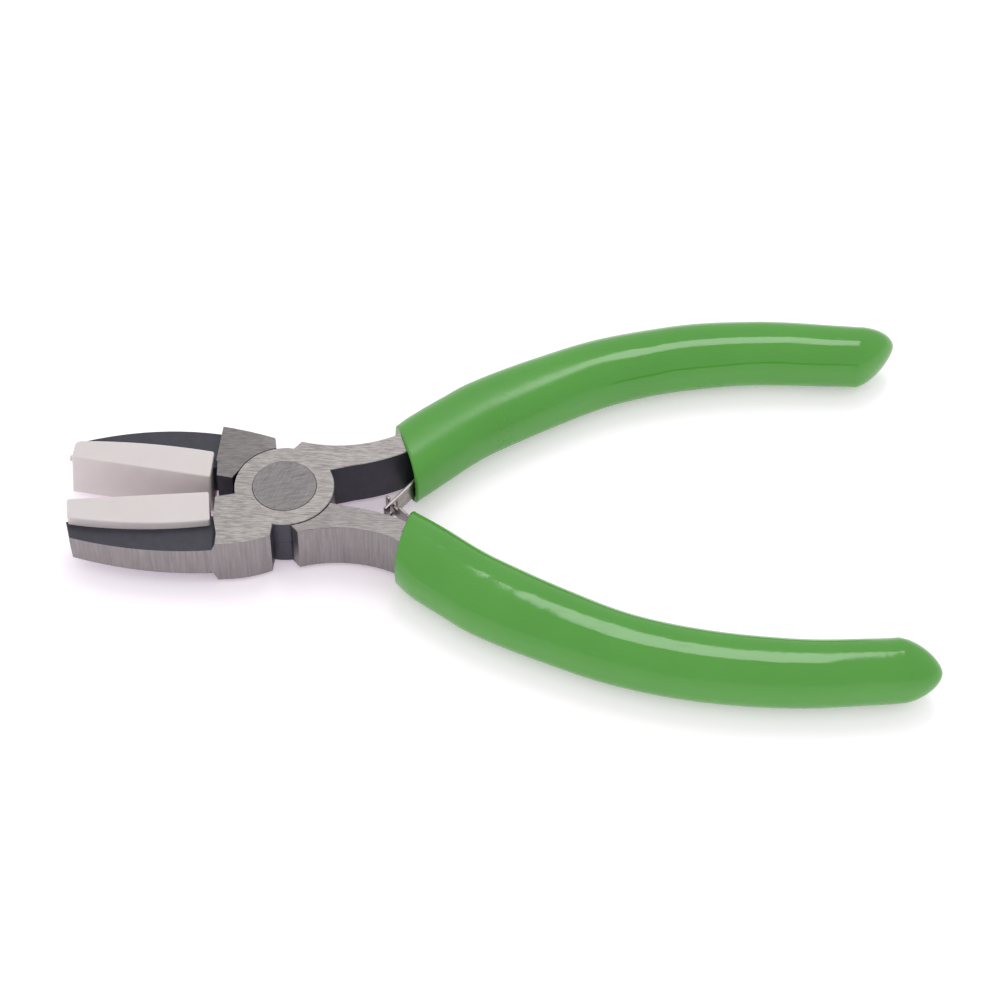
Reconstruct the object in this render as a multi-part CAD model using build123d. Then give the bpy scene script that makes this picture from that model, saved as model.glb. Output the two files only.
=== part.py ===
from build123d import *
import math
import os

# Flat-nose lap-joint pliers with nylon jaw pads, dipped grips and a double leaf spring. Millimetres.
#
# Frame: Z is the pivot axis, z = 0 is the joint's ground underside, +X points to the handle ends and
# +Y to the handle of lever A. The rest pose is the tool lying open, with its springs relaxed.
# Lever A carries the jaw at -Y and the handle at +Y. Lever B is the same forging turned over about X,
# so every piece is modelled once, for lever A and about the middle plane, and then placed by a function.

# Joint
JOINT_T = 8.5            # full thickness of the joint
LUG_R = 7.5              # half-thickness round lug of each lever
LUG_GAP = 0.04           # between the two lugs' sliding faces
EDGE_BREAK = 0.1         # chamfer round the ground faces
EASED_FROM_X = -3.0      # the block's edges ahead of this stay sharp
SHORTEST_EASED = 0.35    # and so do the short edges where a lug meets its neighbours
SOCKET_CLEAR = 0.15      # round the other lever's lug
RIVET_SHANK_R = 3.5
RIVET_HEAD_R = 4.9
RIVET_HEAD_H = 1.2       # depth of the countersink
RIVET_RUNNING_CLEAR = 0.04
RIVET_EDGE = 0.12        # chamfer that leaves a hairline round the rivet

# Jaws
BLOCK_FRONT = {"a": (-9.4, -11.15), "b": (-9.8, -11.85)}   # outer front corner of the joint's block
JAW_TOP_HALF_T = (2.85, 2.35)        # steel above the middle plane, at the block and at the tip
JAW_BOTTOM_HALF_T = (2.6, 2.2)       # steel below it: this side is ground thinner
JAW_INNER_HEEL = (-8.0, -4.6)        # straight inner wall of the jaw
JAW_INNER_TIP = {"a": (-32.5, -6.4), "b": (-32.0, -6.36)}   # lever B's stays inside its pad
JAW_OUTER_SWELL = {"a": 0.0, "b": 0.3}   # lever B's jaw is the wider one in the middle
JAW_ROOT = (-9.6, -8.0)  # the jaw is set by bending it about this point
JAW_SET = {"a": 2.3, "b": -2.3}      # degrees, towards the middle line
PAD_FACE_ANGLE = {"a": 3.9, "b": 10.6}
PAD_FACE_OFFSET = {"a": 0.3, "b": -0.3}   # how far outside the pivot centre a face's plane passes
PAD_HEEL_X = -11.25
PAD_TIP_X = -32.4
PAD_TIP_LEAN = {"a": 0.0, "b": 0.8}        # how much further the tip reaches at the pad's underside
PAD_OUTER = {                              # outer wall: heel, middle and tip, before the jaw is set
    "a": ((-10.85, -6.6), (-21.5, -7.55), (-32.1, -6.85)),
    "b": ((-10.85, -6.8), (-21.0, -8.0), (-32.1, -8.1)),
}
PAD_OUTER_CORNER = {"a": 0.5, "b": 0.9}    # radius at the tip
PAD_CORNER = 0.4                           # radius of the other upright corners
PAD_RIM = 0.25                             # radius round the top and bottom
PAD_HALF_T = JOINT_T / 2
PEG_R = 1.0              # moulded pegs that key a pad into blind holes in its jaw
PEG_DEPTH = 1.6
PEG_X = (-16.5, -26.0)
GATE_R = 0.45            # moulding gate mark on the tip of lever B's pad
GATE_H = 0.3
GATE_INSET = 0.85
GATE_Z = -2.9

# Handles
HANDLE_HALF_T = 3.3      # inside the grip
HANDLE_THIN_X = 19.6     # where the joint's full thickness ends, just inside the grip
SEAT_ANGLE = 36.0        # straight inner wall that the spring is riveted to
SEAT_START = (18.3, 6.8)
SEAT_LENGTH = 21.0

# Grips: centre x, y, direction of travel in degrees, half width, half height. Lever B's sleeve
# stands a little further out.
GRIP_SECTIONS = {
    "a": [
        (18.05, 7.82, 16.0, 6.17, 4.9),
        (21.9, 11.25, 31.0, 5.75, 4.95),
        (26.4, 14.95, 36.0, 5.6, 4.95),
        (31.0, 18.1, 32.0, 5.75, 4.95),
        (40.0, 22.85, 26.0, 5.45, 4.95),
        (50.0, 27.25, 19.0, 5.1, 4.9),
        (62.0, 30.2, 9.0, 4.97, 4.85),
        (74.0, 31.2, 1.5, 4.75, 4.8),
        (86.0, 30.7, -4.0, 4.5, 4.7),
    ],
    "b": [
        (18.05, 8.35, 16.0, 5.4, 4.9),
        (21.9, 11.6, 31.0, 5.6, 4.95),
        (26.4, 15.15, 36.0, 5.6, 4.95),
        (31.0, 18.3, 32.0, 5.8, 4.95),
        (40.0, 23.1, 26.0, 5.45, 4.95),
        (50.0, 27.5, 19.0, 5.13, 4.9),
        (62.0, 30.5, 9.0, 4.98, 4.85),
        (74.0, 31.7, 1.5, 4.72, 4.8),
        (86.0, 31.5, -4.0, 4.45, 4.7),
    ],
}
GRIP_END_X = 95.6        # tip of the sleeve
NOSE_LENGTH = 5.0
NOSE_OUT = 1.5           # the pointed tip leans away from the other lever and upwards
NOSE_UP = 0.6
NOSE_STEPS = (0.0, 0.36, 0.66, 0.86, 0.97)   # sections along the nose, as shares of its length
GRIP_CORNER = 0.78       # corner radius of a section as a share of its half height
GRIP_WALL = 0.4          # round the hollow that the spring works in
POCKET_SECTIONS = 6      # the hollow follows this many of the grip's sections

# Springs
LEAF_T = 0.45
LEAF_W = 3.5
CROSSING = (16.2, -0.85)             # where the two leaves hook together
LEAF_ANGLE = {"a": 51.5, "b": 50.6}  # each leaf to the X axis
HINGE_ARM = {"a": 13.35, "b": 12.6}  # from the crossing to where the leaf starts to flex
HINGE_GAP = 0.12                     # half the cut between a leaf and its root
LEAF_TIP = 1.9                       # upper leaf past the crossing
SLOT_LENGTH = 1.7
SLOT_W = 2.3
TONGUE_W = 1.8
TONGUE_LENGTH = 1.5                  # narrow part before the crossing
HEAD_START = 0.75                    # past the crossing
HEAD_LENGTH = 0.7
HEAD_W = 3.2
HEAD_BEND = 12.0                     # the hooked head is bent towards the joint
TAB_LENGTH = 7.0
SPRING_RIVET_R = 0.8
SPRING_RIVET_HEAD_R = 1.5
SPRING_RIVET_HEAD_H = 0.5
SPRING_RIVET_DEPTH = 2.0
SPRING_RIVET_AT = 3.5                # along the tab from its bend

HALF = JOINT_T / 2
BIG = 200.0              # past everything
SINK = 0.3               # how far a joined boss starts inside its base
ON_BASE = (Align.CENTER, Align.CENTER, Align.MIN)


def direction(degrees):
    return Vector(math.cos(math.radians(degrees)), math.sin(math.radians(degrees)), 0)


def prism(lines, low=-HALF, high=HALF):
    """A closed plan outline, extruded from low to high."""
    return Pos(0, 0, low) * extrude(make_face(lines), amount=high - low)


def polygon(points, low=-HALF, high=HALF):
    return prism(Polyline(*points, close=True), low, high)


def set_jaw(shape, side):
    """Bend a jaw piece about its root by the lever's jaw set."""
    axis = Axis((JAW_ROOT[0], JAW_ROOT[1], 0), (0, 0, 1))
    return shape.rotate(axis, -JAW_SET[side])


def place(shape, side):
    """Move a piece from lever A's middle-plane frame to its lever in the tool's frame."""
    turned = shape if side == "a" else shape.rotate(Axis.X, 180)
    return turned.moved(Location((0, 0, HALF)))


def joint_block(side):
    front_corner = BLOCK_FRONT[side]
    outer = ThreePointArc(front_corner, (-5.6, -10.8), (-1.75, -9.5))
    rest = Polyline((-1.75, -9.5), (-1.45, -6.9), (-3.0, -1.0), (-7.65, -1.55), (-10.25, -2.1),
                    (-10.3, -4.85), (-10.5, -5.1), front_corner)
    return prism(outer + rest)


def handle_root():
    """Full-thickness stretch of handle between the lug and the mouth of the grip."""
    outer = ThreePointArc((2.3, 8.9), (9.0, 8.15), (16.3, 10.0))
    into_grip = Line((16.3, 10.0), (HANDLE_THIN_X - 0.6, 12.2))
    end = Line((HANDLE_THIN_X - 0.6, 12.2), (HANDLE_THIN_X + 1.0, 8.9))
    back = Line((HANDLE_THIN_X + 1.0, 8.9), (SEAT_START[0], SEAT_START[1]))
    inner = ThreePointArc((SEAT_START[0], SEAT_START[1]), (14.6, 5.2), (10.2, 4.1))
    lug = Polyline((10.2, 4.1), (6.9, 3.2), (3.0, 2.0), (1.0, 7.3), (2.3, 8.9))
    return prism(outer + into_grip + end + back + inner + lug)


def handle_core():
    """The handle inside its grip: thinner, with a straight seat for the spring on its inner side."""
    seat_end = Vector(*SEAT_START) + direction(SEAT_ANGLE) * SEAT_LENGTH
    outer = Spline((17.2, 10.7), (24.2, 18.0), (38.3, 26.6), (57.3, 33.0), (71.8, 34.3), (84.0, 33.1))
    tip = ThreePointArc((84.0, 33.1), (87.4, 31.0), (84.0, 28.9))
    inner = Spline((84.0, 28.9), (72.3, 28.6), (58.6, 26.3), (41.6, 19.9))
    shoulder = Polyline((41.6, 19.9), (37.0, 17.2), (seat_end.X, seat_end.Y), SEAT_START, (17.2, 10.7))
    return prism(outer + tip + inner + shoulder, -HANDLE_HALF_T, HANDLE_HALF_T)


def jaw_steel(side):
    """Jaw, thinner than the joint and tapering to its tip, before the pad's peg holes are made."""
    swell = JAW_OUTER_SWELL[side]
    outer = Spline((-8.0, -11.0), (-16.0, -11.6 - swell), (-24.0, -11.0 - swell), (-31.55, -9.4))
    tip = Polyline((-31.55, -9.4), JAW_INNER_TIP[side], JAW_INNER_HEEL, (-8.0, -11.0))
    plan = prism(outer + tip)
    upper, lower = JAW_TOP_HALF_T, JAW_BOTTOM_HALF_T
    if side == "b":
        upper, lower = lower, upper
    profile = Polyline((-8, -HALF), (-9.7, -HALF), (-10.3, -lower[0]), (-33, -lower[1]), (-33, upper[1]),
                       (-10.3, upper[0]), (-9.7, HALF), (-8, HALF), close=True)
    side_view = extrude(Plane.XZ * make_face(profile), amount=BIG, both=True)
    return set_jaw(plan & side_view, side)


def pad_pegs(side):
    """Round pegs from the pad into the jaw, square to the jaw's inner wall."""
    tip = JAW_INNER_TIP[side]
    pegs = []
    for x in PEG_X:
        along = (x - JAW_INNER_HEEL[0]) / (tip[0] - JAW_INNER_HEEL[0])
        wall_y = JAW_INNER_HEEL[1] + along * (tip[1] - JAW_INNER_HEEL[1])
        start_y = wall_y + SINK
        peg = Cylinder(PEG_R, PEG_DEPTH + SINK, align=ON_BASE)
        pegs.append(Pos(x, start_y, 0) * Rot(90, 0, 0) * peg)
    return set_jaw(Part() + pegs, side)


def is_upright(edge):
    return edge.bounding_box().size.Z > PAD_HALF_T


def nylon_pad(side):
    """Channel-shaped pad: it lies in front of the jaw and folds over its top and bottom."""
    slope = math.tan(math.radians(PAD_FACE_ANGLE[side]))
    swing = Location((*JAW_ROOT, 0)) * Rot(0, 0, -JAW_SET[side]) * Location((-JAW_ROOT[0], -JAW_ROOT[1], 0))

    def on_face(x):
        return (x, x * slope - PAD_FACE_OFFSET[side])

    def outline(height, lean):
        """The pad's plan at one height, with its tip moved out by lean."""
        heel, middle, tip = [(swing * Location((x, y, 0))).position for x, y in PAD_OUTER[side]]
        tip_corner = (tip.X - lean, tip.Y)
        face_tip = on_face(PAD_TIP_X - lean)
        lines = ThreePointArc((heel.X, heel.Y), (middle.X, middle.Y), tip_corner)
        lines += Polyline(tip_corner, face_tip, on_face(PAD_HEEL_X), (heel.X, heel.Y))
        return Pos(0, 0, height) * make_face(lines)

    lean = PAD_TIP_LEAN[side]
    block = loft([outline(-PAD_HALF_T, 0), outline(PAD_HALF_T, lean)])
    outer_tip = (*PAD_OUTER[side][2], 0)
    upright = block.edges().filter_by(is_upright).sort_by_distance(outer_tip)
    block = fillet(upright[1:], PAD_CORNER)
    upright = block.edges().filter_by(is_upright).sort_by_distance(outer_tip)
    block = fillet(upright[0:1], PAD_OUTER_CORNER[side])
    rims = block.faces().sort_by(Axis.Z)
    block = fillet(rims[0].edges() + rims[-1].edges(), PAD_RIM)
    pad = block - jaw_steel(side) + pad_pegs(side)
    if side == "b":
        surface_x = PAD_TIP_X - lean * (GATE_Z + PAD_HALF_T) / JOINT_T
        gate = Pos(surface_x + SINK, on_face(PAD_TIP_X)[1] - GATE_INSET, GATE_Z) * Rot(0, -90, 0)
        pad += gate * Cylinder(GATE_R, SINK + GATE_H, align=ON_BASE)
    return pad


def rivet_solid(clearance):
    """Straight shank with a countersunk head on each face, grown by a clearance."""
    shank = RIVET_SHANK_R + clearance
    head = RIVET_HEAD_R + clearance
    profile = Polyline((0, -HALF), (head, -HALF), (shank, -HALF + RIVET_HEAD_H),
                       (shank, HALF - RIVET_HEAD_H), (head, HALF), (0, HALF), close=True)
    return revolve(Plane.XZ * make_face(profile), Axis.Z)


def pivot_rivet():
    rivet = rivet_solid(0)
    rims = rivet.edges().filter_by(GeomType.CIRCLE).sort_by(SortBy.RADIUS)[-2:]
    return chamfer(rims, RIVET_EDGE)


def seat_location(along, out):
    """A point on the spring seat, with z out of the handle towards the other lever."""
    point = Vector(*SEAT_START) + direction(SEAT_ANGLE) * along + direction(SEAT_ANGLE - 90) * out
    return Plane(origin=point, x_dir=direction(SEAT_ANGLE), z_dir=direction(SEAT_ANGLE - 90))


def crossing_point(side):
    """The crossing, seen from lever A's frame for either leaf."""
    return Vector(CROSSING[0], CROSSING[1] if side == "a" else -CROSSING[1], 0)


def hinge_point(side):
    return crossing_point(side) + direction(LEAF_ANGLE[side]) * HINGE_ARM[side]


def seat_meeting(side):
    """Distance from the crossing, along a leaf, to the middle of the strip lying on the seat."""
    normal = direction(SEAT_ANGLE - 90)
    start = Vector(*SEAT_START) + normal * (LEAF_T / 2)
    return (start - crossing_point(side)).dot(normal) / direction(LEAF_ANGLE[side]).dot(normal)


def bend_point(side):
    return crossing_point(side) + direction(LEAF_ANGLE[side]) * seat_meeting(side)


def spring_rivet(side):
    along = (bend_point(side) - Vector(*SEAT_START)).dot(direction(SEAT_ANGLE)) + SPRING_RIVET_AT
    shank_length = SPRING_RIVET_DEPTH + LEAF_T
    shank = seat_location(along, -SPRING_RIVET_DEPTH) * Cylinder(SPRING_RIVET_R, shank_length, align=ON_BASE)
    head = seat_location(along, LEAF_T) * Cylinder(SPRING_RIVET_HEAD_R, SPRING_RIVET_HEAD_H, align=ON_BASE)
    return shank + head


def spring_root(side):
    """The fixed end of a leaf: a short straight stretch, a bend, and a tab on the handle's seat."""
    start = hinge_point(side) + direction(LEAF_ANGLE[side]) * HINGE_GAP
    bend = bend_point(side)
    end = bend + direction(SEAT_ANGLE) * TAB_LENGTH
    across_leaf = direction(LEAF_ANGLE[side] - 90) * (LEAF_T / 2)
    across_tab = direction(SEAT_ANGLE - 90) * (LEAF_T / 2)
    across_bend = direction((SEAT_ANGLE + LEAF_ANGLE[side]) / 2 - 90) * (LEAF_T / 2)
    points = [start + across_leaf, bend + across_bend, end + across_tab,
              end - across_tab, bend - across_bend, start - across_leaf]
    strip = polygon([(p.X, p.Y) for p in points], -LEAF_W / 2, LEAF_W / 2)
    return strip - spring_rivet(side)


def strip_piece(low, high, width):
    """A stretch of leaf in its own frame: x towards the crossing, z across its width."""
    return Pos((low + high) / 2, 0, 0) * Box(high - low, LEAF_T, width)


def spring_leaf(side):
    """The working end of a leaf, from where it flexes to its hooked tip."""
    arm = HINGE_ARM[side]
    if side == "a":
        leaf = strip_piece(HINGE_GAP, arm + LEAF_TIP, LEAF_W)
        corners = leaf.edges().filter_by(Axis.Y).sort_by(Axis.X)[-2:]
        leaf = fillet(corners, 0.6)
        leaf -= strip_piece(arm - SLOT_LENGTH / 2 - 0.05, arm + SLOT_LENGTH / 2 - 0.05, SLOT_W)
    else:
        leaf = strip_piece(HINGE_GAP, arm - TONGUE_LENGTH, LEAF_W)
        leaf += strip_piece(arm - TONGUE_LENGTH - 0.1, arm + HEAD_START, TONGUE_W)
        head = strip_piece(0, HEAD_LENGTH, HEAD_W) + strip_piece(-0.1, 0.2, TONGUE_W)
        leaf += Pos(arm + HEAD_START - 0.1, 0, 0) * Rot(0, 0, -HEAD_BEND) * head
    hinge = hinge_point(side)
    return Pos(hinge.X, hinge.Y, 0) * Rot(0, 0, LEAF_ANGLE[side] + 180) * leaf


def ease_edges(body):
    """Break the edges of the joint's ground top and bottom, behind the block."""
    edges = []
    for face in body.faces().filter_by(Axis.Z):
        if abs(abs(face.center().Z) - HALF) < 0.001:
            edges += [edge for edge in face.edges() if edge.center().X > EASED_FROM_X]
    whole = [edge for edge in edges if edge.length > SHORTEST_EASED]
    return chamfer(whole, EDGE_BREAK)


def lever(side):
    """One forging: jaw, block, half-thickness lug and handle."""
    lug = Pos(0, 0, LUG_GAP / 2) * Cylinder(LUG_R, HALF - LUG_GAP / 2, align=ON_BASE)
    socket = Pos(0, 0, -HALF) * Cylinder(LUG_R + SOCKET_CLEAR, HALF + LUG_GAP / 2, align=ON_BASE)
    relief = [(-8.2, -0.8), (-7.85, -1.8), (-7.1, -3.0), (-6.0, -3.0), (-6.0, -0.8)]
    corner_relief = polygon(relief, -HALF, LUG_GAP / 2)
    body = joint_block(side) + handle_root() + jaw_steel(side) + handle_core()
    body = body - socket - corner_relief + lug
    body = ease_edges(body)
    body -= rivet_solid(0 if side == "a" else RIVET_RUNNING_CLEAR)
    body -= pad_pegs(side)
    body -= spring_rivet(side)
    return body


def grip_section(section, shrink=0.0, height=0.0):
    """One rounded section of a grip, made smaller all round by shrink."""
    x, y, angle, half_w, half_h = section
    plane = Plane(origin=(x, y, height), x_dir=direction(angle + 90), z_dir=direction(angle))
    w = half_w - shrink
    h = half_h - shrink
    return plane * RectangleRounded(2 * w, 2 * h, GRIP_CORNER * min(w, h))


def nose_sections(side):
    """The grip's pointed end: a paraboloid that starts a nose's length before the tip."""
    x, y, angle, half_w, half_h = GRIP_SECTIONS[side][-1]
    reach = GRIP_END_X - NOSE_LENGTH - x
    start = Vector(x, y) + direction(angle) * (reach / direction(angle).X)
    up = NOSE_UP if side == "a" else -NOSE_UP
    sections = []
    for t in NOSE_STEPS:
        size = math.sqrt(1 - t)
        point = start + direction(angle) * (NOSE_LENGTH * t) + direction(angle + 90) * (NOSE_OUT * t)
        section = (point.X, point.Y, angle, half_w * size, half_h * size)
        sections.append(grip_section(section, height=up * t))
    return sections


def spring_pocket(side):
    """Hollow on the handle's inner side, open at the mouth, where the leaf lies and moves."""
    sections = [grip_section(section, GRIP_WALL) for section in GRIP_SECTIONS[side][0:POCKET_SECTIONS]]
    hollow = loft(sections) + extrude(sections[0], amount=-1)
    handle_side = [(15.0, 6.6), (18.3, 8.0), (26.4, 14.2), (36.0, 19.6)]
    outer_side = [(38.5, 15.5), (24.0, -2.0), (15.0, -2.0)]
    return hollow & polygon(handle_side + outer_side)


def grip(side):
    sections = [grip_section(section) for section in GRIP_SECTIONS[side]]
    return loft(sections + nose_sections(side)) - spring_pocket(side) - handle_core() - handle_root()


def build():
    parts = {"pivot_rivet": place(pivot_rivet(), "a")}
    makers = {"lever": lever, "nylon_pad": nylon_pad, "grip": grip, "spring_leaf": spring_leaf,
              "spring_root": spring_root, "spring_rivet": spring_rivet}
    for side in ("a", "b"):
        for name, maker in makers.items():
            parts[f"{name}_{side}"] = place(maker(side), side)
    return parts


os.makedirs("parts", exist_ok=True)
for node, shape in build().items():
    export_step(shape, f"parts/{node}.step")
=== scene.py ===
import math

import bmesh
import bpy
import numpy as np
from mathutils import Matrix, Vector


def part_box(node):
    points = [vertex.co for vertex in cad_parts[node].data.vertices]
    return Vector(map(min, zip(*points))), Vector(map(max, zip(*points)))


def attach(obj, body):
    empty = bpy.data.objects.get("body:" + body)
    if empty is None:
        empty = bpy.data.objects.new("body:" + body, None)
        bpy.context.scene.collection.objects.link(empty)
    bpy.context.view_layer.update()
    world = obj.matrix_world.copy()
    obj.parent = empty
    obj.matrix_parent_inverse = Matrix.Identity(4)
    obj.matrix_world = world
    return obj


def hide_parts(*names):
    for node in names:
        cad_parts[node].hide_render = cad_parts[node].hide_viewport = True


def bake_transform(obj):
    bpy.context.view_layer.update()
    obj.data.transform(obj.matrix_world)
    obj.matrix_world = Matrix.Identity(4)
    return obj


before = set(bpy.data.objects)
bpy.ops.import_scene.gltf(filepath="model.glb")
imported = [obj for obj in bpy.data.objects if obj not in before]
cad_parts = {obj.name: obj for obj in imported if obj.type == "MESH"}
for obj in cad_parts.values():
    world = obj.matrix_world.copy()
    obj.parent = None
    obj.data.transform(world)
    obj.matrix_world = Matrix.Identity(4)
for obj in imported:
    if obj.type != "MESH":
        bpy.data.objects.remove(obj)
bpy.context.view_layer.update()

MM = 0.001
MID_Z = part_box("lever_a")[1].z / 2       # middle plane of the joint
HALF_T = MID_Z
FLOOR_Z = min(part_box("grip_a")[0].z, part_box("grip_b")[0].z)
SIDES = {"a": 1, "b": -1}                # lever B is lever A turned over: y and z change sign


# ---------------------------------------------------------------- node helpers

class Nodes:
    """Short names for building one material's node tree."""

    def __init__(self, name):
        self.material = bpy.data.materials.new(name)
        self.material.use_nodes = True
        self.tree = self.material.node_tree
        self.shader = self.tree.nodes["Principled BSDF"]

    def add(self, kind, **settings):
        node = self.tree.nodes.new(kind)
        for key, value in settings.items():
            setattr(node, key, value)
        return node

    def link(self, source, target):
        self.tree.links.new(source, target)

    def put(self, value, target):
        if isinstance(value, bpy.types.NodeSocket):
            self.link(value, target)
        else:
            target.default_value = value

    def math(self, operation, a, b=0.0, clamp=False):
        node = self.add("ShaderNodeMath", operation=operation, use_clamp=clamp)
        self.put(a, node.inputs[0])
        self.put(b, node.inputs[1])
        return node.outputs[0]

    def position(self):
        return self.add("ShaderNodeTexCoord").outputs["Object"]

    def normal(self):
        return self.add("ShaderNodeTexCoord").outputs["Normal"]

    def xyz(self, vector):
        node = self.add("ShaderNodeSeparateXYZ")
        self.link(vector, node.inputs[0])
        return node.outputs

    def stretched(self, vector, scale, turn=0.0):
        """Coordinates times a scale on each axis, turned about Z first."""
        node = self.add("ShaderNodeMapping", vector_type="POINT")
        turned = self.add("ShaderNodeMapping", vector_type="POINT")
        turned.inputs["Rotation"].default_value = (0, 0, math.radians(turn))
        self.link(vector, turned.inputs["Vector"])
        self.link(turned.outputs[0], node.inputs["Vector"])
        node.inputs["Scale"].default_value = scale
        return node.outputs[0]

    def noise(self, vector, scale=1.0, detail=3.0, roughness=0.5, distortion=0.0):
        node = self.add("ShaderNodeTexNoise")
        self.link(vector, node.inputs["Vector"])
        node.inputs["Scale"].default_value = scale
        node.inputs["Detail"].default_value = detail
        node.inputs["Roughness"].default_value = roughness
        node.inputs["Distortion"].default_value = distortion
        return node.outputs["Fac"]

    def ramp(self, value, low, high, out_low=0.0, out_high=1.0):
        node = self.add("ShaderNodeMapRange")
        self.put(value, node.inputs["Value"])
        node.inputs["From Min"].default_value = low
        node.inputs["From Max"].default_value = high
        node.inputs["To Min"].default_value = out_low
        node.inputs["To Max"].default_value = out_high
        return node.outputs["Result"]

    def mix(self, factor, a, b):
        node = self.add("ShaderNodeMix", data_type="RGBA")
        self.put(factor, node.inputs["Factor"])
        self.put(a, node.inputs["A"])
        self.put(b, node.inputs["B"])
        return node.outputs["Result"]

    def mix_value(self, factor, a, b):
        node = self.add("ShaderNodeMix", data_type="FLOAT")
        self.put(factor, node.inputs["Factor"])
        self.put(a, node.inputs["A"])
        self.put(b, node.inputs["B"])
        return node.outputs["Result"]

    def bump(self, height, distance, strength=1.0, normal=None):
        node = self.add("ShaderNodeBump")
        node.inputs["Strength"].default_value = strength
        node.inputs["Distance"].default_value = distance
        self.link(height, node.inputs["Height"])
        if normal is not None:
            self.link(normal, node.inputs["Normal"])
        return node.outputs["Normal"]

    def pits(self, vector, cell, radius, share):
        """1 in scattered small spots: one cell in so many has a spot of that radius, all in metres."""
        near = self.add("ShaderNodeTexVoronoi")
        self.link(vector, near.inputs["Vector"])
        near.inputs["Scale"].default_value = 1 / cell
        chance = self.xyz(near.outputs["Color"])[0]
        wobble = self.math("MULTIPLY", self.noise(vector, 4000.0), 0.6)
        reach = self.math("ADD", near.outputs["Distance"], self.math("MULTIPLY", wobble, radius / cell))
        spot = self.ramp(reach, radius / cell, radius / cell * 1.6, 1.0, 0.0)
        return self.math("MULTIPLY", spot, self.math("LESS_THAN", chance, share))

    def set(self, **values):
        for name, value in values.items():
            self.put(value, self.shader.inputs[name.replace("_", " ")])


def colour(r, g, b):
    return (r, g, b, 1.0)


# ---------------------------------------------------------------- materials

def lever_steel(side):
    """Ground steel outside; black oxide on the jaws' recessed faces, the inner walls and the lugs."""
    n = Nodes(f"lever_steel_{side}")
    sign = SIDES[side]
    at = n.position()
    x, y, z = n.xyz(at)
    ny, nz = n.xyz(n.normal())[1:3]
    flat = n.math("GREATER_THAN", n.math("ABSOLUTE", nz), 0.55)
    depth = n.math("ABSOLUTE", n.math("SUBTRACT", z, MID_Z))
    skin = n.math("GREATER_THAN", depth, HALF_T - 0.3 * MM)
    ground_flat = n.math("MULTIPLY", flat, skin)
    outward = n.math("MULTIPLY", n.math("MULTIPLY", ny, n.math("SIGN", x)), float(sign))
    radius = n.math("SQRT", n.math("ADD", n.math("MULTIPLY", x, x), n.math("MULTIPLY", y, y)))
    off_lug = n.math("GREATER_THAN", radius, 8.0 * MM)
    ground_wall = n.math("MULTIPLY", n.math("GREATER_THAN", outward, 0.35), off_lug)
    ground_wall = n.math("MULTIPLY", ground_wall, n.math("LESS_THAN", n.math("ABSOLUTE", nz), 0.5))
    ground = n.math("MAXIMUM", ground_flat, ground_wall)

    along = n.noise(n.stretched(at, (620, 5600, 900), 4.0), detail=4.0, roughness=0.6)
    upright = n.noise(n.stretched(at, (2600, 2600, 120)), detail=4.0, roughness=0.7)
    grind = n.mix_value(ground_wall, along, upright)
    mottle = n.noise(at, 700.0, 4.0, 0.6)
    pit = n.pits(at, 2.2 * MM, 0.14 * MM, 0.22)

    top_tone = n.mix(n.ramp(along, 0.34, 0.66), colour(0.225, 0.208, 0.204), colour(0.440, 0.414, 0.402))
    fine = n.noise(n.stretched(at, (1400, 7500, 900), -3.0), detail=3.0, roughness=0.7)
    top_tone = n.mix(n.ramp(fine, 0.54, 0.72, 0.0, 0.45), top_tone, colour(0.17, 0.155, 0.155))
    if side == "b":     # lever B's top faces are the duller ones, its block most of all
        top_tone = n.mix(n.ramp(x, -4 * MM, 2 * MM, 0.55, 0.25), top_tone, colour(0.09, 0.083, 0.086))
    wall_tone = n.mix(n.ramp(upright, 0.35, 0.65), colour(0.23, 0.213, 0.213), colour(0.33, 0.31, 0.31))
    ground_tone = n.mix(ground_wall, top_tone, wall_tone)
    ground_tone = n.mix(n.ramp(mottle, 0.45, 0.7, 0.0, 0.35), ground_tone, colour(0.25, 0.23, 0.23))
    ground_tone = n.mix(n.math("MULTIPLY", pit, 0.8), ground_tone, colour(0.05, 0.045, 0.05))
    oxide = n.mix(mottle, colour(0.031, 0.030, 0.042), colour(0.060, 0.058, 0.078))
    tone = n.mix(ground, oxide, ground_tone)

    height = n.math("ADD", n.math("MULTIPLY", grind, ground), n.math("MULTIPLY", mottle, 0.4))
    height = n.math("SUBTRACT", height, n.math("MULTIPLY", pit, 1.5))
    n.set(Base_Color=tone, Metallic=n.mix_value(ground, 0.35, 1.0),
          Roughness=n.mix_value(ground, 0.42, n.ramp(grind, 0.3, 0.7, 0.30, 0.46)),
          Normal=n.bump(height, 0.008 * MM, 0.8))
    return n.material


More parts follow.
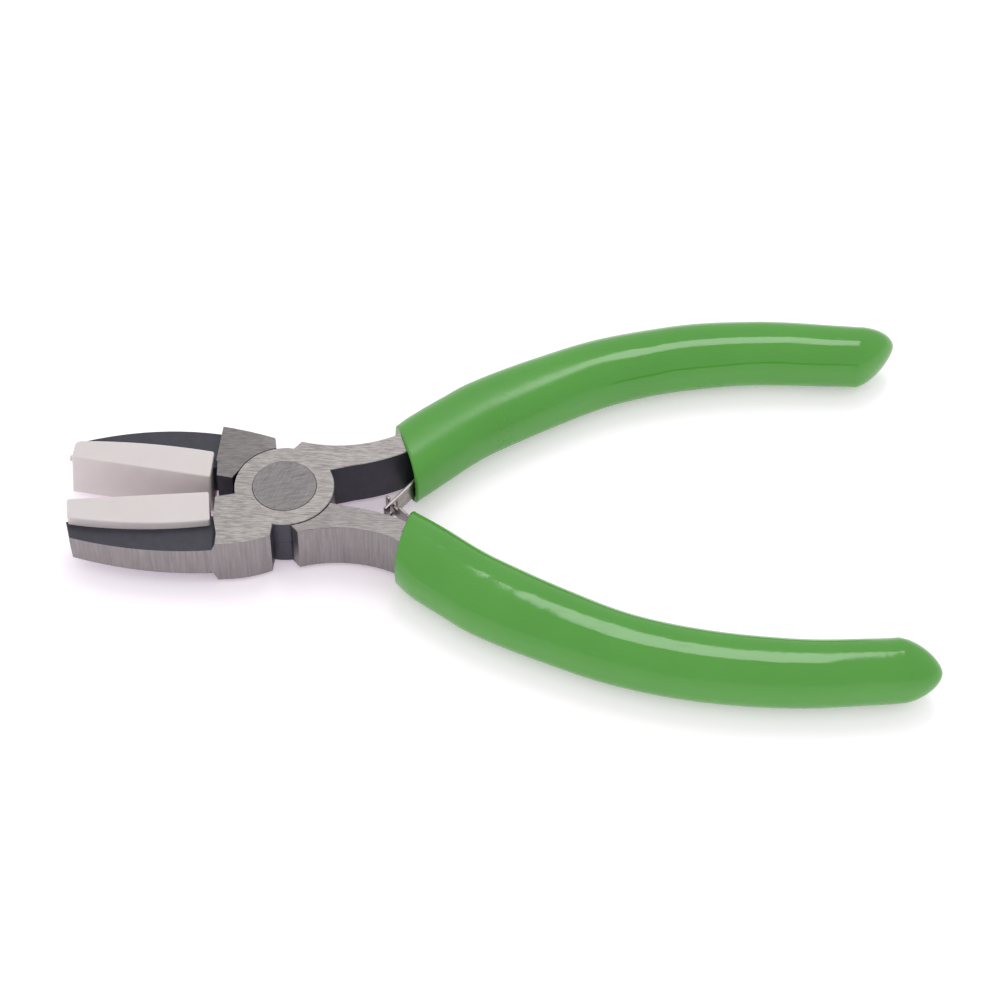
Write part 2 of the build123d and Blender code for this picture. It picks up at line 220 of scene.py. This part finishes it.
def rivet_steel():
    """Ground flush with fine crossed scratches, and a dark hairline at its rim."""
    n = Nodes("rivet_steel")
    at = n.position()
    x, y = n.xyz(at)[0:2]
    fine = n.noise(n.stretched(at, (500, 8000, 900), -14.0), detail=4.0, roughness=0.6)
    cross = n.noise(n.stretched(at, (7000, 500, 900), 22.0), detail=4.0, roughness=0.6)
    mottle = n.noise(at, 900.0, 4.0, 0.6)
    pit = n.pits(at, 1.5 * MM, 0.10 * MM, 0.35)
    radius = n.math("SQRT", n.math("ADD", n.math("MULTIPLY", x, x), n.math("MULTIPLY", y, y)))
    rim = n.ramp(n.math("ADD", radius, n.math("MULTIPLY", mottle, 0.1 * MM)), 4.80 * MM, 4.86 * MM)
    scratch = n.math("ADD", n.math("MULTIPLY", fine, 0.6), n.math("MULTIPLY", cross, 0.4))
    tone = n.mix(n.ramp(scratch, 0.38, 0.62), colour(0.150, 0.141, 0.144), colour(0.27, 0.255, 0.256))
    tone = n.mix(n.math("MULTIPLY", pit, 0.7), tone, colour(0.06, 0.055, 0.06))
    tone = n.mix(rim, tone, colour(0.04, 0.035, 0.04))
    n.set(Base_Color=tone, Metallic=1.0, Roughness=n.ramp(scratch, 0.3, 0.7, 0.34, 0.5),
          Normal=n.bump(n.math("SUBTRACT", scratch, pit), 0.006 * MM, 0.8))
    return n.material


def nylon():
    """Off-white moulded nylon: faint clouding, shallow moulding waves and a little dirt."""
    n = Nodes("nylon")
    at = n.position()
    cloud = n.noise(at, 260.0, 3.0, 0.55)
    wave = n.noise(n.stretched(at, (180, 420, 420)), detail=2.0)
    grain = n.noise(at, 5200.0, 2.0, 0.5)
    speck = n.pits(at, 2.4 * MM, 0.09 * MM, 0.10)
    tone = n.mix(cloud, colour(0.635, 0.580, 0.575), colour(0.695, 0.645, 0.645))
    tone = n.mix(n.math("MULTIPLY", speck, 0.5), tone, colour(0.22, 0.18, 0.16))
    height = n.math("ADD", wave, n.math("MULTIPLY", grain, 0.05))
    n.set(Base_Color=tone, Roughness=n.ramp(grain, 0.3, 0.7, 0.36, 0.50),
          Normal=n.bump(height, 0.10 * MM, 0.5))
    n.shader.inputs["Subsurface Weight"].default_value = 0.25
    n.shader.inputs["Subsurface Radius"].default_value = (1.0, 0.85, 0.7)
    n.shader.inputs["Subsurface Scale"].default_value = 0.8 * MM
    n.shader.inputs["IOR"].default_value = 1.53
    return n.material


def green_pvc():
    """Glossy dipped PVC: slight orange peel, hair scratches and a few scuffs."""
    n = Nodes("green_pvc")
    at = n.position()
    cloud = n.noise(at, 90.0, 3.0, 0.5)
    peel = n.noise(at, 900.0, 2.0, 0.5)
    sag = n.noise(n.stretched(at, (60, 130, 130)), detail=2.0)
    scratch = n.noise(n.stretched(at, (160, 6000, 3000), 18.0), detail=2.0, roughness=0.5)
    scratched = n.ramp(scratch, 0.70, 0.76)
    scuff = n.pits(at, 9.0 * MM, 0.35 * MM, 0.14)
    tone = n.mix(cloud, colour(0.066, 0.285, 0.028), colour(0.082, 0.335, 0.038))
    tone = n.mix(n.math("MULTIPLY", scratched, 0.15), tone, colour(0.25, 0.50, 0.20))
    tone = n.mix(n.math("MULTIPLY", scuff, 0.45), tone, colour(0.05, 0.14, 0.035))
    rough = n.math("ADD", n.ramp(peel, 0.3, 0.7, 0.07, 0.11), n.math("MULTIPLY", scratched, 0.12))
    rough = n.math("ADD", rough, n.math("MULTIPLY", scuff, 0.3))
    x, y = n.xyz(at)[0:2]
    # set to fade the highlight near sleeve A's mouth, not a known property of the sleeve
    satin = n.math("MULTIPLY", n.ramp(x, 26 * MM, 52 * MM, 0.26, 0.0), n.math("GREATER_THAN", y, 0.0))
    rough = n.math("ADD", rough, satin)
    height = n.math("ADD", n.math("MULTIPLY", sag, 1.0), n.math("MULTIPLY", peel, 0.05))
    height = n.math("SUBTRACT", height, n.math("MULTIPLY", n.math("ADD", scratched, scuff), 0.03))
    n.set(Base_Color=tone, Roughness=rough, Normal=n.bump(height, 0.5 * MM, 0.35))
    n.shader.inputs["Subsurface Weight"].default_value = 0.12
    n.shader.inputs["Subsurface Radius"].default_value = (0.4, 1.0, 0.3)
    n.shader.inputs["Subsurface Scale"].default_value = 0.6 * MM
    n.shader.inputs["IOR"].default_value = 1.52
    return n.material


def spring_steel():
    """Bright rolled strip with fine lines along its length and a little discolouring."""
    n = Nodes("spring_steel")
    at = n.position()
    lines = n.noise(n.stretched(at, (900, 900, 5000)), detail=3.0, roughness=0.6)
    stain = n.noise(at, 420.0, 3.0, 0.6)
    tone = n.mix(n.ramp(lines, 0.3, 0.7), colour(0.24, 0.215, 0.21), colour(0.42, 0.385, 0.37))
    tone = n.mix(n.ramp(stain, 0.5, 0.75, 0.0, 0.6), tone, colour(0.16, 0.12, 0.10))
    n.set(Base_Color=tone, Metallic=1.0, Roughness=n.ramp(lines, 0.3, 0.7, 0.24, 0.40),
          Normal=n.bump(lines, 0.006 * MM, 0.8))
    return n.material


# ---------------------------------------------------------------- mesh helpers

def new_object(name, verts, faces, material):
    mesh = bpy.data.meshes.new(name)
    mesh.from_pydata([tuple(v) for v in verts], [], faces)
    mesh.validate()
    mesh.update()
    mesh.materials.append(material)
    piece = bpy.data.objects.new(name, mesh)
    bpy.context.scene.collection.objects.link(piece)
    return piece


def apply_modifiers(piece):
    """Replace a piece's mesh by its mesh with the modifiers on it worked out."""
    bpy.context.view_layer.update()
    graph = bpy.context.evaluated_depsgraph_get()
    mesh = bpy.data.meshes.new_from_object(piece.evaluated_get(graph))
    piece.modifiers.clear()
    piece.data = mesh
    return piece


def smooth(piece, degrees=35.0):
    for polygon in piece.data.polygons:
        polygon.use_smooth = True
    piece.data.set_sharp_from_angle(angle=math.radians(degrees))


def from_lever_a(points, side):
    """Points of lever A's frame, millimetres about the middle plane, in the tool's frame in metres."""
    sign = SIDES[side]
    points = np.asarray(points, float)
    out = points * np.array([1.0, sign, sign]) * MM
    out[:, 2] += MID_Z
    return out


# ---------------------------------------------------------------- grips

GRIP_SECTIONS = {   # centre x, y, direction in degrees, half width, half height, in mm
    "a": [
        (18.05, 7.82, 16.0, 6.17, 4.9),
        (21.9, 11.25, 31.0, 5.75, 4.95),
        (26.4, 14.95, 36.0, 5.6, 4.95),
        (31.0, 18.1, 32.0, 5.75, 4.95),
        (40.0, 22.85, 26.0, 5.45, 4.95),
        (50.0, 27.25, 19.0, 5.1, 4.9),
        (62.0, 30.2, 9.0, 4.97, 4.85),
        (74.0, 31.2, 1.5, 4.75, 4.8),
        (86.0, 30.7, -4.0, 4.5, 4.7),
        (89.9, 30.45, -4.0, 4.45, 4.65),
    ],
    "b": [
        (18.05, 8.35, 16.0, 5.4, 4.9),
        (21.9, 11.6, 31.0, 5.6, 4.95),
        (26.4, 15.15, 36.0, 5.6, 4.95),
        (31.0, 18.3, 32.0, 5.8, 4.95),
        (40.0, 23.1, 26.0, 5.45, 4.95),
        (50.0, 27.5, 19.0, 5.13, 4.9),
        (62.0, 30.5, 9.0, 4.98, 4.85),
        (74.0, 31.7, 1.5, 4.72, 4.8),
        (86.0, 31.5, -4.0, 4.45, 4.7),
        (89.9, 31.25, -4.0, 4.4, 4.65),
    ],
}
GRIP_RINGS = 110
GRIP_AROUND = 72
SECTION_POWER = 2.5       # 2 is an ellipse, more is squarer
NOSE_LENGTH = 5.8
NOSE_RINGS = 22
NOSE_OUT = {"a": 2.0, "b": 1.3}          # the pointed tip leans outwards and upwards
NOSE_UP = 0.7
NOSE_LEAN_POWER = 1.4     # how late the nose starts to lean
NOSE_TAPER_POWERS = (1.7, 0.6)           # along the nose, and of its size
LIP_RADIUS = 0.35
LIP_STEPS = 5
BORE_CENTRE = -1.2       # the opening is off centre, towards the spring
BORE_HALF_H = 4.15
BORE_WALL = 1.0          # at the opening's inner side
BORE_STEPS = (0.30, 0.22, 0.14, 0.07)    # how far in the hollow is followed, in sections


def catmull(values, t):
    """Smooth curve through evenly indexed values."""
    values = np.asarray(values, float)
    last = len(values) - 1
    i = np.clip(np.floor(t).astype(int), 0, last - 1)
    f = t - i
    p0 = values[np.maximum(i - 1, 0)]
    p1 = values[i]
    p2 = values[i + 1]
    p3 = values[np.minimum(i + 2, last)]
    return 0.5 * (2 * p1 + (p2 - p0) * f + (2 * p0 - 5 * p1 + 4 * p2 - p3) * f ** 2
                  + (3 * p1 - p0 - 3 * p2 + p3) * f ** 3)


def oval(half_w, half_h, angles, power):
    """Superellipse: power 2 is an ellipse, more is squarer."""
    c = np.cos(angles)
    s = np.sin(angles)
    return (half_w * np.sign(c) * np.abs(c) ** (2 / power), half_h * np.sign(s) * np.abs(s) ** (2 / power))


def ring_points(centre, angle, lateral, height):
    """A section's points: lateral is to the left of travel, which on lever A is away from lever B."""
    left = np.array([-math.sin(angle), math.cos(angle)])
    points = np.zeros((len(lateral), 3))
    points[:, :2] = centre + lateral[:, None] * left
    points[:, 2] = height
    return points


def grip(side, material):
    rng = np.random.default_rng(11 if side == "a" else 12)
    table = np.array(GRIP_SECTIONS[side])
    stations = np.linspace(0, len(table) - 1, GRIP_RINGS)
    cx, cy, half_w, half_h = (catmull(table[:, k], stations) for k in (0, 1, 3, 4))
    turn = np.radians(catmull(table[:, 2], stations))
    angles = np.linspace(0, 2 * math.pi, GRIP_AROUND, endpoint=False)
    waves = [(rng.uniform(0.15, 0.5), rng.integers(1, 3), rng.uniform(0, 6.28), rng.uniform(0.008, 0.02))
             for _ in range(6)]

    def swell(s, angle):
        """Slight unevenness of the dip."""
        return sum(size * np.sin(rate * s + phase + around * angle) for rate, around, phase, size in waves)

    rings = []
    mouth = np.array([cx[0], cy[0]])
    travel = np.array([math.cos(turn[0]), math.sin(turn[0])])
    bore_half_w = half_w[0] - BORE_WALL + BORE_CENTRE
    bore_w, bore_h = oval(bore_half_w, BORE_HALF_H, angles, 3.2)
    # inside of the opening, along the sleeve's own curve, from its depth out to the lip
    for step in BORE_STEPS:
        station = np.array([step * (len(table) - 1)])
        x, y, w = (catmull(table[:, k], station)[0] for k in (0, 1, 3))
        angle = math.radians(catmull(table[:, 2], station)[0])
        narrower = (w - half_w[0]) * 0.8
        deep = min(1.0, station[0] / 2)
        size = 1 + (narrower - 0.6 * deep) / bore_half_w
        rings.append(ring_points(np.array([x, y]), angle, BORE_CENTRE + bore_w * size,
                                 bore_h * (1 - 0.1 * deep)))
    outer_w, outer_h = oval(half_w[0], half_h[0], angles, SECTION_POWER)
    # inner lip, flat rim and outer lip
    for step in range(LIP_STEPS):
        a = step / (LIP_STEPS - 1) * math.pi / 2
        grow = LIP_RADIUS * 0.6 * (1 - math.cos(a))
        back = LIP_RADIUS * (1 - math.sin(a))
        w = (bore_half_w + grow) / bore_half_w
        h = (BORE_HALF_H + grow) / BORE_HALF_H
        rings.append(ring_points(mouth + travel * back, turn[0], BORE_CENTRE + bore_w * w, bore_h * h))
    for step in range(LIP_STEPS):
        a = step / (LIP_STEPS - 1) * math.pi / 2
        inset = LIP_RADIUS * (1 - math.sin(a))
        back = LIP_RADIUS * (1 - math.cos(a))
        w = (half_w[0] - inset) / half_w[0]
        h = (half_h[0] - inset) / half_h[0]
        rings.append(ring_points(mouth + travel * back, turn[0], outer_w * w, outer_h * h))
    for k in range(1, GRIP_RINGS):
        w, h = oval(half_w[k], half_h[k], angles, SECTION_POWER)
        bulge = 1 + swell(cx[k], angles) / half_w[k] * min(1.0, k / 8)
        rings.append(ring_points(np.array([cx[k], cy[k]]), turn[k], w * bulge, h * np.minimum(bulge, 1.0)))
    # rounded nose whose tip leans outwards and upwards
    end = np.array([cx[-1], cy[-1]])
    ahead = np.array([math.cos(turn[-1]), math.sin(turn[-1])])
    left = np.array([-ahead[1], ahead[0]])
    for step in range(1, NOSE_RINGS):
        t = 1 - (1 - step / NOSE_RINGS) ** 2
        size = (1 - t ** NOSE_TAPER_POWERS[0]) ** NOSE_TAPER_POWERS[1]
        lean = t ** NOSE_LEAN_POWER
        w, h = oval(half_w[-1] * size, half_h[-1] * size, angles, SECTION_POWER - (SECTION_POWER - 2) * t)
        ring = ring_points(end + ahead * NOSE_LENGTH * t + left * NOSE_OUT[side] * lean, turn[-1], w, h)
        ring[:, 2] += SIDES[side] * NOSE_UP * lean
        rings.append(ring)
    tip = np.append(end + ahead * NOSE_LENGTH + left * NOSE_OUT[side], SIDES[side] * NOSE_UP)
    count = len(rings)
    around = GRIP_AROUND
    verts = np.vstack(rings + [tip[None]])
    faces = []
    for k in range(count - 1):
        for j in range(around):
            m = (j + 1) % around
            faces.append((k * around + j, k * around + m, (k + 1) * around + m, (k + 1) * around + j))
    faces.append(tuple(range(around)))
    last = (count - 1) * around
    for j in range(around):
        faces.append((last + j, last + (j + 1) % around, count * around))
    piece = new_object(f"grip_sleeve_{side}", from_lever_a(verts, side), faces, material)
    mesh = bmesh.new()
    mesh.from_mesh(piece.data)
    bmesh.ops.recalc_face_normals(mesh, faces=mesh.faces)
    mesh.to_mesh(piece.data)
    mesh.free()
    smooth(piece, 60)
    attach(piece, f"lever_{side}_body")
    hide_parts(f"grip_{side}")
    return piece


# ---------------------------------------------------------------- leaf springs

LEAF_T = 0.45
LEAF_W = 3.5
CROSSING = {"a": (16.2, -0.85), "b": (16.2, 0.85)}       # in lever A's frame for either leaf
LEAF_ANGLE = {"a": 51.5, "b": 50.6}
BEND_ARM = {"a": 17.62, "b": 13.28}
SEAT_ANGLE = 36.0
TAB_LENGTH = 7.0
LEAF_STEP = 0.4


def leaf_cells(side):
    """Stations along the leaf, stations across it, and which cells between them are metal.

    Along: 0 is the crossing, plus is towards the root. Across: 0 is the middle of the strip."""
    half = LEAF_W / 2
    if side == "a":
        low, high, slot_low, slot_high, slot_half = -1.9, BEND_ARM["a"] + TAB_LENGTH, -0.8, 0.9, 1.15
        across = [-half, -slot_half, 0.0, slot_half, half]
        marks = [low, slot_low, slot_high, high]

        def solid(s, w):
            return not (slot_low < s < slot_high and abs(w) < slot_half)
    else:
        low, high, neck, head_start, tongue, head = -1.45, BEND_ARM["b"] + TAB_LENGTH, 1.5, -0.75, 0.9, 1.6
        across = [-half, -head, -tongue, 0.0, tongue, head, half]
        marks = [low, head_start, neck, high]

        def solid(s, w):
            if s > neck:
                return True
            return abs(w) < (tongue if s > head_start else head)
    along = []
    for start, stop in zip(marks, marks[1:]):
        steps = max(1, round((stop - start) / LEAF_STEP))
        along += list(np.linspace(start, stop, steps, endpoint=False))
    along.append(high)
    return along, across, solid


def leaf_path(side, s):
    """Plan point and direction of the strip's middle at s, with a soft bend onto the seat."""
    start = np.array(CROSSING[side])
    turn = math.radians(LEAF_ANGLE[side])
    seat = math.radians(SEAT_ANGLE)
    bend = BEND_ARM[side]
    soft = 1.2
    if s <= bend - soft:
        return start + s * np.array([math.cos(turn), math.sin(turn)]), turn
    point = start + (bend - soft) * np.array([math.cos(turn), math.sin(turn)])
    done = bend - soft
    angle = turn
    steps = 12
    for _ in range(steps):
        piece = min(s, bend + soft) - done
        if piece <= 1e-9:
            break
        piece = min(piece, 2 * soft / steps)
        done += piece
        angle = turn + (seat - turn) * (done - bend + soft) / (2 * soft)
        point = point + piece * np.array([math.cos(angle), math.sin(angle)])
    if s > bend + soft:
        point = point + (s - bend - soft) * np.array([math.cos(seat), math.sin(seat)])
        angle = seat
    return point, angle


def leaf_spring(side, material):
    along, across, solid = leaf_cells(side)
    verts = []
    index = {}
    for i, s in enumerate(along):
        point, _ = leaf_path(side, s)
        for j, w in enumerate(across):
            index[i, j] = len(verts)
            verts.append((point[0], point[1], w))
    faces = []
    for i in range(len(along) - 1):
        for j in range(len(across) - 1):
            if solid((along[i] + along[i + 1]) / 2, (across[j] + across[j + 1]) / 2):
                faces.append((index[i, j], index[i + 1, j], index[i + 1, j + 1], index[i, j + 1]))
    piece = new_object(f"leaf_spring_{side}", from_lever_a(verts, side), faces, material)
    mesh = bmesh.new()
    mesh.from_mesh(piece.data)
    loose = [v for v in mesh.verts if not v.link_faces]
    bmesh.ops.delete(mesh, geom=loose, context="VERTS")
    mesh.to_mesh(piece.data)
    mesh.free()
    thick = piece.modifiers.new("thick", "SOLIDIFY")
    thick.thickness = LEAF_T * MM
    thick.offset = 0.0
    edge = piece.modifiers.new("edge", "BEVEL")
    edge.width = 0.07 * MM
    edge.segments = 2
    edge.limit_method = "ANGLE"
    edge.angle_limit = math.radians(40)
    apply_modifiers(piece)
    smooth(piece, 40)
    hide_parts(f"spring_leaf_{side}", f"spring_root_{side}")
    for name, s in (("fixed", BEND_ARM[side] - 0.3), ("free", BEND_ARM[side] - 9.0)):
        point, _ = leaf_path(side, s)
        tuple(from_lever_a([(point[0], point[1], 0.0)], side)[0])
    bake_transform(piece)
    return piece


# ---------------------------------------------------------------- stage, lights and camera

def soft_light(name, place, aim, size, power, tint=(1, 1, 1)):
    data = bpy.data.lights.new(name, "AREA")
    data.shape = "RECTANGLE"
    data.size, data.size_y = size
    data.energy = power
    data.color = tint
    lamp = bpy.data.objects.new(name, data)
    bpy.context.scene.collection.objects.link(lamp)
    lamp.location = place
    lamp.rotation_euler = (Vector(aim) - Vector(place)).to_track_quat("-Z", "Y").to_euler()
    return lamp


def stage():
    n = Nodes("stage_white")
    at = n.position()
    n.set(Base_Color=n.mix(n.noise(at, 6.0), colour(0.93, 0.925, 0.93), colour(0.95, 0.945, 0.95)))
    n.shader.inputs["Roughness"].default_value = 0.8
    n.shader.inputs["Specular IOR Level"].default_value = 0.2
    # faint lilac light that offsets the green which the grips throw on the floor
    n.set(Emission_Color=colour(1.0, 0.81, 1.0))
    n.shader.inputs["Emission Strength"].default_value = 0.28
    size = 3.0
    corners = [(-size, -size, FLOOR_Z), (size, -size, FLOOR_Z), (size, size, FLOOR_Z), (-size, size, FLOOR_Z)]
    floor = new_object("floor", corners, [(0, 1, 2, 3)], n.material)
    world = bpy.data.worlds.new("studio")
    bpy.context.scene.world = world
    world.use_nodes = True
    world.node_tree.nodes["Background"].inputs["Color"].default_value = (1.0, 1.0, 1.0, 1.0)
    world.node_tree.nodes["Background"].inputs["Strength"].default_value = 0.92
    soft_light("softbox", (0.13, 0.38, 0.80), (0.05, 0.0, 0.0), (0.24, 0.36), 1.15)


def camera():
    """The camera stands 50 degrees above the floor on lever B's side, turned slightly."""
    rise = math.radians(50.279)
    swing = math.radians(-1.886)
    roll = math.radians(1.464)
    back = Vector((math.sin(swing) * math.cos(rise), -math.cos(swing) * math.cos(rise), math.sin(rise)))
    level = Vector((math.cos(swing), math.sin(swing), 0.0))
    upward = back.cross(level)
    right = level * math.cos(roll) + upward * math.sin(roll)
    up = upward * math.cos(roll) - level * math.sin(roll)
    data = bpy.data.cameras.new("camera")
    data.sensor_width = 36.0
    data.lens = 91.8
    data.clip_start = 0.01
    cam = bpy.data.objects.new("camera", data)
    bpy.context.scene.collection.objects.link(cam)
    turn = Matrix((right, up, back)).transposed().to_4x4()
    cam.matrix_world = Matrix.Translation((0.02432, -0.24673, 0.29805 + MID_Z)) @ turn
    bpy.context.scene.camera = cam
    bpy.context.scene.view_settings.view_transform = "Standard"


# ---------------------------------------------------------------- build

def dress(node, material):
    """Give a CAD node its finished material."""
    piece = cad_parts[node]
    piece.data.materials.clear()
    piece.data.materials.append(material)


dress("pivot_rivet", rivet_steel())
nylon_material = nylon()
spring_material = spring_steel()
pvc_material = green_pvc()
for side in SIDES:
    dress(f"lever_{side}", lever_steel(side))
    dress(f"nylon_pad_{side}", nylon_material)
    dress(f"spring_rivet_{side}", spring_material)
    grip(side, pvc_material)
    leaf_spring(side, spring_material)

stage()
camera()
